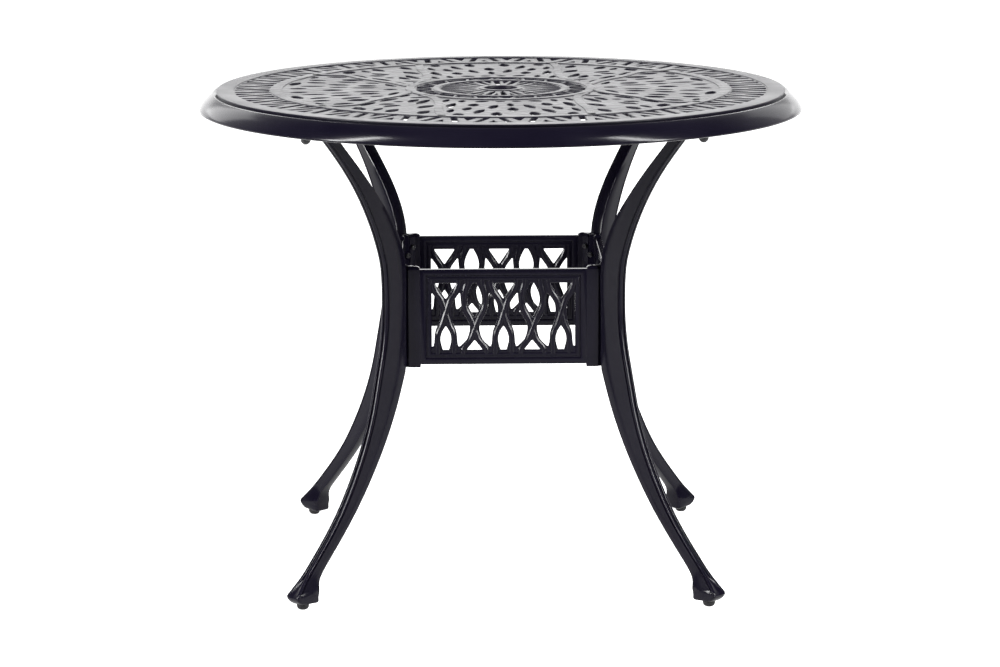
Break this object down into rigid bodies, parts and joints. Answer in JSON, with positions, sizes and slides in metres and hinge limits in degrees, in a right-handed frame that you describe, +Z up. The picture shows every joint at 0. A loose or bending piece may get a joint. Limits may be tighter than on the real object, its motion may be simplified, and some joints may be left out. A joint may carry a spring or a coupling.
{
  "type": "umbrella table",
  "caption": "Round cast-metal patio table with a pierced lattice top, an umbrella hole, bowed legs, a box of lattice panels at the waist and levelling glides.",
  "frame": {"origin": "on the floor, under the middle of the round top", "axes": "+Z up, through the umbrella hole; -Y towards the front lattice panel; the legs stand on the diagonals between X and Y"},
  "size_m": [0.9, 0.9, 0.723],
  "materials": {
    "powder_coat": "black satin powder coat on cast aluminium",
    "fastener": "black coated steel",
    "glide_pad": "black nylon",
    "stud": "zinc plated"
  },
  "bodies": {
    "table": {"table_top": "powder_coat", "leg_front_left": "powder_coat", "leg_front_right": "powder_coat", "leg_rear_right": "powder_coat", "leg_rear_left": "powder_coat", "panel_front": "powder_coat", "panel_right": "powder_coat", "panel_rear": "powder_coat", "panel_left": "powder_coat", "bolt_front_left_inner": "fastener", "bolt_front_left_outer": "fastener", "bolt_front_right_inner": "fastener", "bolt_front_right_outer": "fastener", "bolt_rear_right_inner": "fastener", "bolt_rear_right_outer": "fastener", "bolt_rear_left_inner": "fastener", "bolt_rear_left_outer": "fastener", "screw_front_left_face_lower": "fastener", "screw_front_left_face_upper": "fastener", "screw_front_left_side_lower": "fastener", "screw_front_left_side_upper": "fastener", "screw_front_right_face_lower": "fastener", "screw_front_right_face_upper": "fastener", "screw_front_right_side_lower": "fastener", "screw_front_right_side_upper": "fastener", "screw_rear_right_face_lower": "fastener", "screw_rear_right_face_upper": "fastener", "screw_rear_right_side_lower": "fastener", "screw_rear_right_side_upper": "fastener", "screw_rear_left_face_lower": "fastener", "screw_rear_left_face_upper": "fastener", "screw_rear_left_side_lower": "fastener", "screw_rear_left_side_upper": "fastener"},
    "glide_front_left": {"glide_pad_front_left": "glide_pad", "glide_stud_front_left": "stud"},
    "glide_front_right": {"glide_pad_front_right": "glide_pad", "glide_stud_front_right": "stud"},
    "glide_rear_right": {"glide_pad_rear_right": "glide_pad", "glide_stud_rear_right": "stud"},
    "glide_rear_left": {"glide_pad_rear_left": "glide_pad", "glide_stud_rear_left": "stud"}
  },
  "joints": [
    {"name": "level_front_left", "type": "slide", "parent": "table", "child": "glide_front_left", "axis": [0, 0, -1], "range_m": [0, 0.008]},
    {"name": "level_front_right", "type": "slide", "parent": "table", "child": "glide_front_right", "axis": [0, 0, -1], "range_m": [0, 0.008]},
    {"name": "level_rear_right", "type": "slide", "parent": "table", "child": "glide_rear_right", "axis": [0, 0, -1], "range_m": [0, 0.008]},
    {"name": "level_rear_left", "type": "slide", "parent": "table", "child": "glide_rear_left", "axis": [0, 0, -1], "range_m": [0, 0.008]}
  ]
}
